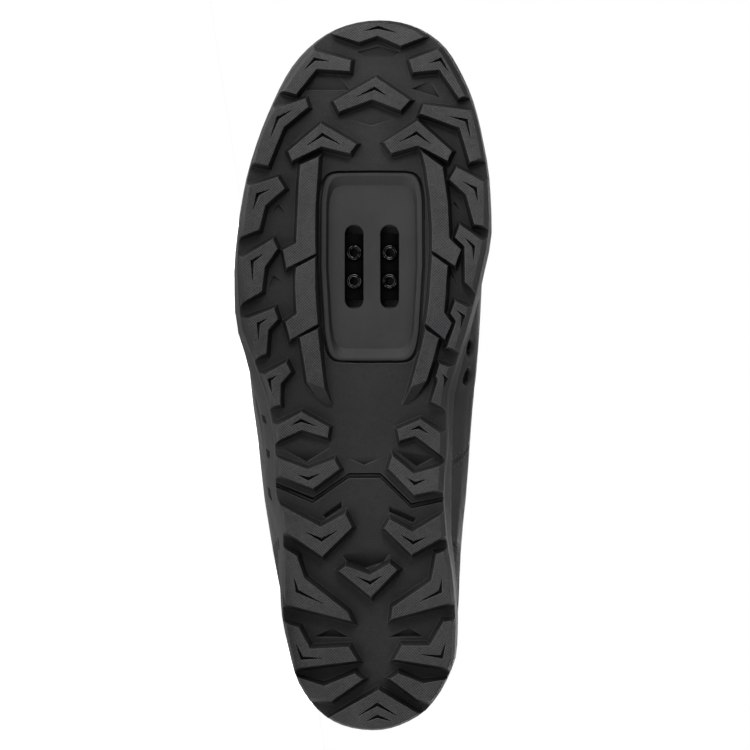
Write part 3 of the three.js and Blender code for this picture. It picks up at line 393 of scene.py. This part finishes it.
outsole = merged_copy("outsole", "tread_outsole")
for vertex in outsole.data.vertices:
    along, across, up = [(vertex.co - heel_point).dot(axis) for axis in (toe_axis, inner_axis, up_axis)]
    outward = (vertex.co - shoe_point(min(max(along, spine[0]), spine[1]), 0, up)).normalized()
    if up - rise_at(along) < rim_height:
        start = vertex.co + up_axis * probe_lift + outward * probe_distance
        hit, _, _, distance = tread.ray_cast(start, outward * -1)
        if hit is not None and probe_distance - distance < edge_reach:
            vertex.co -= outward * side_rim
    nearest, _, _, distance = window_plug.find_nearest(vertex.co)
    if distance < window_reach:
        vertex.co += (vertex.co - nearest).normalized() * window_gap
sipe_outlines = [chevron_outline(line, sipe_width) for line in lug_sipes]
cut(outsole, cutter_through("sipe_cutter", sipe_outlines, sipe_depth))
cut(outsole, cutter_through("facet_cutter", sunk_facets, 0))
for turn_down in (0, groove_pitch):
    line = [Vector((column, row + turn_down)) for column, row in waist_groove]
    half = Vector((0, groove_width / picture_scale / 2))
    strip = [tuple(point - half) for point in line] + [tuple(point + half) for point in reversed(line)]
    cut(outsole, cutter_through("groove_cutter", [strip], groove_depth))
bpy.ops.object.select_all(action="DESELECT")
outsole.select_set(True)
bpy.context.view_layer.objects.active = outsole
bpy.ops.object.shade_smooth_by_angle(angle=smooth_angle)

lug_tops = outsole.data.attributes.new("lug_top", "FLOAT", "FACE")
for face, mark in zip(outsole.data.polygons, lug_tops.data):
    offset = face.center - heel_point
    height = offset.dot(up_axis) - rise_at(offset.dot(toe_axis))
    mark.value = 1.0 if height < lug_top_height and face.normal.dot(up_axis) < -0.9 else 0.0

tread_rubber, shader, place = finish("tread_rubber")
top = place.attribute("lug_top")
rows = place.dot(toe_axis, heel_point) * (2 * pi / dot_pitch)
columns = place.dot(inner_axis, heel_point) * (2 * pi / dot_pitch)
dots = rows.sine() * columns.sine()
stipple = place.noise(1500, 2, 0.6) * 0.6 + dots * top * 0.3 + 0.2
mottle = place.noise(420, 3)
patch = place.noise(35, 3)
rounded = place.rounded(rubber_edge, 6)
relief = (stipple * (0.35 + top * 0.65)).bump(0.0004, 0.8, rounded)
tone = (stipple * 0.45 + mottle * 0.2 + patch * 0.35).clamp(0.38, 0.64)
flat = place.value("ShaderNodeNewGeometry", output=1)
edge = place.value("ShaderNodeVectorMath", {"operation": "DOT_PRODUCT"}, output=1, i0=rounded, i1=flat)
# The lug edges are painted paler, partly as wear and partly as a painted highlight.
worn_and_highlit = (1 - edge).clamp(0.02, 0.3)
# Painted shade: the rubber is darkened towards black in its corners, recesses and narrow channels.
corners = place.openness(corner_reach, 8)
painted_corner_shade = (corners * corners * 1.3).clamp(0.08, 1)
# The web between the lugs is painted darker than the lug tops, partly as painted shade and partly as paler
# wear on the tops.
web_colour = tone.mix(*web_greys)
top_colour = tone.mix(*top_greys)
colour = painted_corner_shade.mix(painted_shade_black, top.mix(web_colour, top_colour))
colour = (worn_and_highlit * corners * 0.75).mix(colour, worn_and_highlit_rubber)
feed(shader, Base_Color=colour, Roughness=0.8 - stipple * 0.2, Specular_IOR_Level=0.25, Normal=relief)
outsole.data.materials.append(tread_rubber)

# Cleat plate: smooth injection-moulded plastic, set in the window of the outsole, with a recessed floor and
# two slots for the cleat's bolts. Its surface is satin with fine scratches along the shoe.
plate_floor = 0.0058
scratch_stretch = (0.12, 1, 1)
plate_greys = (grey(0.026), grey(0.034))
painted_slot_shade = grey(0.001, 0)
plate = merged_copy("cleat_plate", "window_plate")
bpy.ops.object.shade_smooth_by_angle(angle=radians(20))
plate_plastic, shader, place = finish("plate_plastic")
stretched = place.value("ShaderNodeMapping", Vector=place, Scale=scratch_stretch)
scratches = stretched.noise(900, 2, 0.6)
bloom = place.noise(45, 4, 0.6)
rounded = place.rounded(0.0005)
relief = place.noise(2200, 2).bump(0.0001, 0.5, rounded)
# Painted shade: the plastic is darkened in its corners and painted nearly black past the depth of its floor,
# on the walls of the slots.
corners = place.openness(0.004)
satin = bloom.clamp(0.35, 0.7).mix(*plate_greys)
below_floor = (place.dot(up_axis, heel_point) - plate_floor).clamp(0.0001, 0.0008)
colour = (corners * corners * (1 - below_floor)).mix(painted_slot_shade, satin)
feed(shader, Base_Color=colour, Roughness=scratches * 0.2 + 0.5, Specular_IOR_Level=0.25, Normal=relief)
plate.data.materials.append(plate_plastic)

# Cleat nut plate: blackened steel with four threaded bosses, loose behind the slots. Turned rings stand for
# the boss edges and the first threads in each bore.
bolt_side = 0.007
nut_pitch = 0.0113
nut_centre = 0.1838
nut_face = 0.0069
steel_greys = (grey(0.0005, 0), grey(0.004, 0))
ring_greys = (grey(0.012, 0), grey(0.15, 0.01))
# Radius of each ring, its thickness and how far it lies behind the face of the bosses
ring_sizes = [(0.0026, 0.00016, 0), (0.00195, 0.00014, 0.0001), (0.0019, 0.00014, 0.0007),
              (0.0019, 0.00014, 0.0013)]
nut_plate = merged_copy("cleat_nut_plate", "steel_nut_plate")
bpy.ops.object.shade_smooth_by_angle(angle=radians(30))
nut_steel, shader, place = finish("nut_steel")
rounded = place.rounded(0.0004)
# Painted shade: the blackened steel is darkened further in its hollows.
depths = place.openness(0.004)
feed(shader, Base_Color=(depths * depths).mix(*steel_greys), Metallic=1.0,
     Roughness=place.noise(1200) * 0.3 + 0.25, Normal=place.noise(900).bump(0.0001, 0.6, rounded))
nut_plate.data.materials.append(nut_steel)

ring_steel, shader, place = finish("ring_steel")
# The rings' steel is mottled from dark to bright as painted glints.
glints = place.noise(650, 2).clamp(0.42, 0.62)
feed(shader, Base_Color=glints.mix(*ring_greys), Metallic=1.0, Roughness=0.2)
ring_turn = up_axis.to_track_quat("Z", "Y").to_euler()
bpy.ops.object.select_all(action="DESELECT")
rings = []
for side in (-bolt_side, bolt_side):
    for step in (-nut_pitch / 2, nut_pitch / 2):
        for radius, thickness, sink in ring_sizes:
            centre = shoe_point(nut_centre + step, side, nut_face + sink)
            bpy.ops.mesh.primitive_torus_add(location=centre, rotation=ring_turn, major_radius=radius,
                                             minor_radius=thickness, major_segments=32, minor_segments=8)
            rings.append(bpy.context.object)
for ring in rings:
    ring.select_set(True)
bpy.ops.object.join()
boss_rings = bpy.context.object
boss_rings.name = "boss_rings"
bpy.ops.object.transform_apply(location=True, rotation=True, scale=True)
bpy.ops.object.shade_smooth()
boss_rings.data.materials.append(ring_steel)
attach(boss_rings, "root")

# Midsole: a moulded foam wedge between outsole and upper, seen as a paler band along both sides of the waist,
# with fine moulded ribs. It is cemented between the two.
rib_pitch = 0.0017453
foam_greys = (grey(0.028), grey(0.038))
midsole = merged_copy("midsole", "foam_midsole")
bpy.ops.object.shade_smooth_by_angle(angle=radians(30))
midsole_foam, shader, place = finish("midsole_foam")
up = place.dot(up_axis, heel_point)
ribs = (up * (2 * pi / rib_pitch)).sine()
rounded = place.rounded(0.0008)
relief = (ribs * 0.12 + place.noise(1300, 3) * 0.8).bump(0.00035, 0.8, rounded)
tone = place.noise(50, 3).clamp(0.35, 0.7)
feed(shader, Base_Color=tone.mix(*foam_greys), Roughness=0.8, Specular_IOR_Level=0.2, Normal=relief)
midsole.data.materials.append(midsole_foam)

# Insole: a thin foam footbed covered with knitted fabric, laid loose in the upper.
weave_scale = 130
weave_wobble = 1.5
lining_greys = (grey(0.010), grey(0.030, 0.002))


def knit(place, scale):
    threads = [place.value("ShaderNodeTexWave", {"bands_direction": direction}, Vector=place, Scale=scale,
                           Distortion=weave_wobble) for direction in ("X", "Z")]
    return threads[0] * threads[1]


def soften(piece, voxel, rounds):
    apply_modifier(piece, "REMESH", mode="VOXEL", voxel_size=voxel)
    apply_modifier(piece, "SMOOTH", factor=0.5, iterations=rounds)


insole = merged_copy("insole", "fabric_insole")
soften(insole, 0.0014, 4)
bpy.ops.object.shade_smooth()
lining_fabric, shader, place = finish("lining_fabric")
loops = knit(place, weave_scale)
feed(shader, Base_Color=loops.mix(*lining_greys), Roughness=0.95, Sheen_Weight=0.25,
     Normal=(loops * 0.7 + place.noise(1800) * 0.3).bump(0.0005, 0.8))
insole.data.materials.append(lining_fabric)

# Upper: synthetic leather with mesh panels at the forefoot and heel, sewn together, lasted and cemented to the
# midsole, with a padded collar. The vamp has shallow flex creases where the toes bend.
crease_places = [0.192, 0.201, 0.2105]
crease_depth = 0.0007
crease_width = 0.0022
crease_curve = 4
side_height = 0.045
heel_panel = 0.082
toe_cap = 0.232
vamp_seam = [(0.190, 0.010), (0.134, 0.080)]
collar_back = (0.0024, 0.093)
collar_dip = [(0.0339, 0.078), (0.0605, 0.073), (0.0823, 0.082)]
collar_front = [(0.104, 0.095), (0.121, 0.106)]
collar_padding = 0.0015
collar_band = 0.013
collar_end = 0.108
collar_fade = 0.012
roll_below_edge = 0.006
roll_width = 0.004
quarter_seam = [(0.1005, 0.018), (0.1155, 0.045), (0.126, 0.066)]
eyestay_seams = [[(0.118, side * 0.029), (0.150, side * 0.026), (0.184, side * 0.021)] for side in (-1, 1)]
eyestay_middle = 0.003
stitch_side = 0.0019
stitch_pitch = 0.0026
stitch_width = 0.0005
seam_width = 0.0009
panel_edge = 0.0006
heel_lean = 0.25
toe_lean = 0.35
seam_heights = (0.01, 0.1)
lining_probe = 0.0008
foot_room = 0.15
ripstop_cells = (620, 0.25)
thread_colour = grey(0.060, 0.002)
leather_greys = (grey(0.021), grey(0.033))
mesh_greys = (grey(0.008), grey(0.034, 0.002))
seam_shadow = grey(0.007, 0)


def shoe_coordinates(mesh):
    offsets = [vertex.co - heel_point for vertex in mesh.vertices]
    return [[offset.dot(axis) for axis in (toe_axis, inner_axis, up_axis)] for offset in offsets]


def curve_points(corners, count=10):
    corners = [np.array(corner) for corner in corners]
    points = []
    for step in range(count + 1):
        level = corners
        while len(level) > 1:
            level = [a + (b - a) * step / count for a, b in zip(level, level[1:])]
        points.append(tuple(level[0]))
    return points


def gap_and_run(line, spots):
    """Distance of each spot from a line of points, and how far along the line its nearest point lies."""
    starts, ends = np.array(line[:-1]), np.array(line[1:])
    spans = ends - starts
    lengths = np.linalg.norm(spans, axis=1)
    before = np.cumsum(lengths) - lengths
    offsets = spots[:, None, :] - starts[None]
    share = np.clip((offsets * spans).sum(axis=2) / lengths ** 2, 0, 1)
    gaps = np.linalg.norm(offsets - share[..., None] * spans, axis=2)
    order, nearest = np.arange(len(spots)), gaps.argmin(axis=1)
    return gaps[order, nearest], (before + share * lengths)[order, nearest]


def write_values(mesh, name, values):
    mesh.attributes.new(name, "FLOAT", "POINT").data.foreach_set("value", np.array(values, dtype=np.float32))


upper = merged_copy("upper", "lasted_upper")
soften(upper, 0.00125, 6)
collar = curve_points([collar_back] + collar_dip) + curve_points([collar_dip[-1]] + collar_front)[1:]
spots = np.array(shoe_coordinates(upper.data))
side_view, top_view = spots[:, [0, 2]], spots[:, [0, 1]]
edge_gaps = gap_and_run(collar, side_view)[0]
moves = []
for vertex, (along, across, up), edge_gap in zip(upper.data.vertices, spots, edge_gaps):
    fade = min(max((collar_end - along) / collar_fade, 0), 1)
    sink = -collar_padding * fade * exp(-((edge_gap - roll_below_edge) / roll_width) ** 2)
    for place_along in crease_places:
        distance = along - place_along - across * across * crease_curve * (1 if place_along < 0.2 else 0.8)
        sink += crease_depth * exp(-(distance / crease_width) ** 2)
    moves.append(vertex.normal * (-sink if up > side_height else 0))
for vertex, move in zip(upper.data.vertices, moves):
    vertex.co += move
bpy.ops.object.shade_smooth()

seam_lines = [[(along, up - collar_band) for along, up in collar], quarter_seam, vamp_seam,
              [(heel_panel - up * heel_lean, up) for up in seam_heights],
              [(toe_cap - up * toe_lean, up) for up in seam_heights]]
measured = [gap_and_run(line, side_view) for line in seam_lines]
for line in eyestay_seams:
    gaps, runs = gap_and_run([(along, across + eyestay_middle) for along, across in line], top_view)
    measured.append((np.where(spots[:, 2] > side_height, gaps, 1.0), runs))
seam_gaps, seam_runs = [np.array(values) for values in zip(*measured)]
nearest = seam_gaps.argmin(axis=0)
order = np.arange(len(spots))
write_values(upper.data, "seam_gap", seam_gaps[nearest, order])
write_values(upper.data, "seam_run", seam_runs[nearest, order])

shell = surface_of(upper.data)
inner_faces = upper.data.attributes.new("lining", "FLOAT", "FACE")
for face, mark in zip(upper.data.polygons, inner_faces.data):
    hit = shell.ray_cast(face.center + face.normal * lining_probe, face.normal, foot_room)
    mark.value = 1.0 if hit[0] is not None else 0.0

upper_leather, shader, place = finish("upper_leather")
along = place.dot(toe_axis, heel_point)
up = place.dot(up_axis, heel_point)
lining = place.attribute("lining")
heel_line = heel_panel - up * heel_lean


def seam(distance, width):
    size = distance.maths("ABSOLUTE", distance)
    return size.value("ShaderNodeMapRange", {"interpolation_type": "SMOOTHSTEP"}, Value=size,
                      From_Min=0, From_Max=width, To_Min=1, To_Max=0)


def stitches(gap, run):
    dashes = (run * (2 * pi / stitch_pitch)).sine().clamp(-0.5, 0.1)
    return seam(gap - stitch_side, stitch_width) * dashes


seam_gap = place.attribute("seam_gap")
seam_run = place.attribute("seam_run")
seams = seam(seam_gap, seam_width) * (1 - lining)
thread = stitches(seam_gap, seam_run) * (1 - lining)
(back, low), (front, high) = vamp_seam
vamp_line = (up - low) * ((front - back) / (high - low)) + back
cap = (along + up * toe_lean - toe_cap).clamp(0, panel_edge)
mesh_parts = (heel_line - along).clamp(0, panel_edge) + (along - vamp_line).clamp(0, panel_edge) * (1 - cap)
loops = knit(place, weave_scale)
ripstop = place.cell_gaps(*ripstop_cells)
grain = place.noise(1700, 4, 0.6)
pebble = place.value("ShaderNodeTexVoronoi", Vector=place, Scale=1100)
skin = grain * 0.5 + pebble * 0.5
surface = skin + mesh_parts * (ripstop * 1.5 - skin) + lining * (loops - skin)
relief = (surface * 0.35 - seams * 1.6 + thread * 1.2).bump(0.0006, 0.8)
tone = (grain * 0.4 + place.noise(40, 3) * 0.6).clamp(0.35, 0.68)
leather_colour = tone.mix(*leather_greys)
mesh_colour = ripstop.mix(*mesh_greys)
outer_colour = mesh_parts.mix(leather_colour, mesh_colour)
seamed = thread.mix(seams.mix(outer_colour, seam_shadow), thread_colour)
lined = lining.mix(seamed, loops.mix(*lining_greys))
roughness = 0.48 + grain * 0.2 + lining * 0.25 + mesh_parts * 0.2 - cap * 0.12
feed(shader, Base_Color=lined, Roughness=roughness, Specular_IOR_Level=0.15, Normal=relief)
upper.data.materials.append(upper_leather)

# Tongue: a padded sheet of spacer mesh, sewn in at its front end under the throat and free at its back end.
# Its size and its thickness are those of the CAD solid.
tongue_cells = (480, 0.3)
tongue_greys = (grey(0.030, 0.002), grey(0.008))
tongue = merged_copy("tongue", "padded_tongue")
soften(tongue, 0.0012, 8)
bpy.ops.object.shade_smooth()
tongue_mesh, shader, place = finish("tongue_mesh")
cells = place.cell_gaps(*tongue_cells)
feed(shader, Base_Color=cells.mix(*tongue_greys), Roughness=0.95, Sheen_Weight=0.2,
     Normal=(1 - cells).bump(0.0006, 0.9))
tongue.data.materials.append(tongue_mesh)

# Closure straps: three bands of synthetic leather with a stitched border, which close the throat. Each would
# be sewn down at one end and held by a hook-and-loop strip at the other.
strap_greys = (grey(0.020), grey(0.036, 0.002))
strap_nodes = ("forefoot_strap", "instep_strap", "ankle_strap")
strap_leather, shader, place = finish("strap_leather")
grain = place.noise(1700, 4, 0.6)
tone = (grain * 0.4 + place.noise(60, 3) * 0.6).clamp(0.35, 0.68)
rounded = place.rounded(0.0006)
border = place.attribute("border_gap")
thread = stitches(border, place.dot(inner_axis, heel_point))
colour = thread.mix(tone.mix(*strap_greys), thread_colour)
relief = (grain * 0.5 + thread * 1.2 - seam(border - stitch_side, 0.0012) * 0.5).bump(0.0005, 0.8, rounded)
feed(shader, Base_Color=colour, Roughness=0.45 + grain * 0.2, Normal=relief)
for node in strap_nodes:
    strap = merged_copy(node, "closure_" + node)
    soften(strap, 0.0006, 30)
    bpy.ops.object.shade_smooth()
    spots = np.array(shoe_coordinates(strap.data))
    slope, middle = np.polyfit(spots[:, 1], spots[:, 0], 1)
    sides = np.abs(spots[:, 0] - middle - slope * spots[:, 1])
    write_values(strap.data, "border_gap", sides.max() - sides)
    strap.data.materials.append(strap_leather)
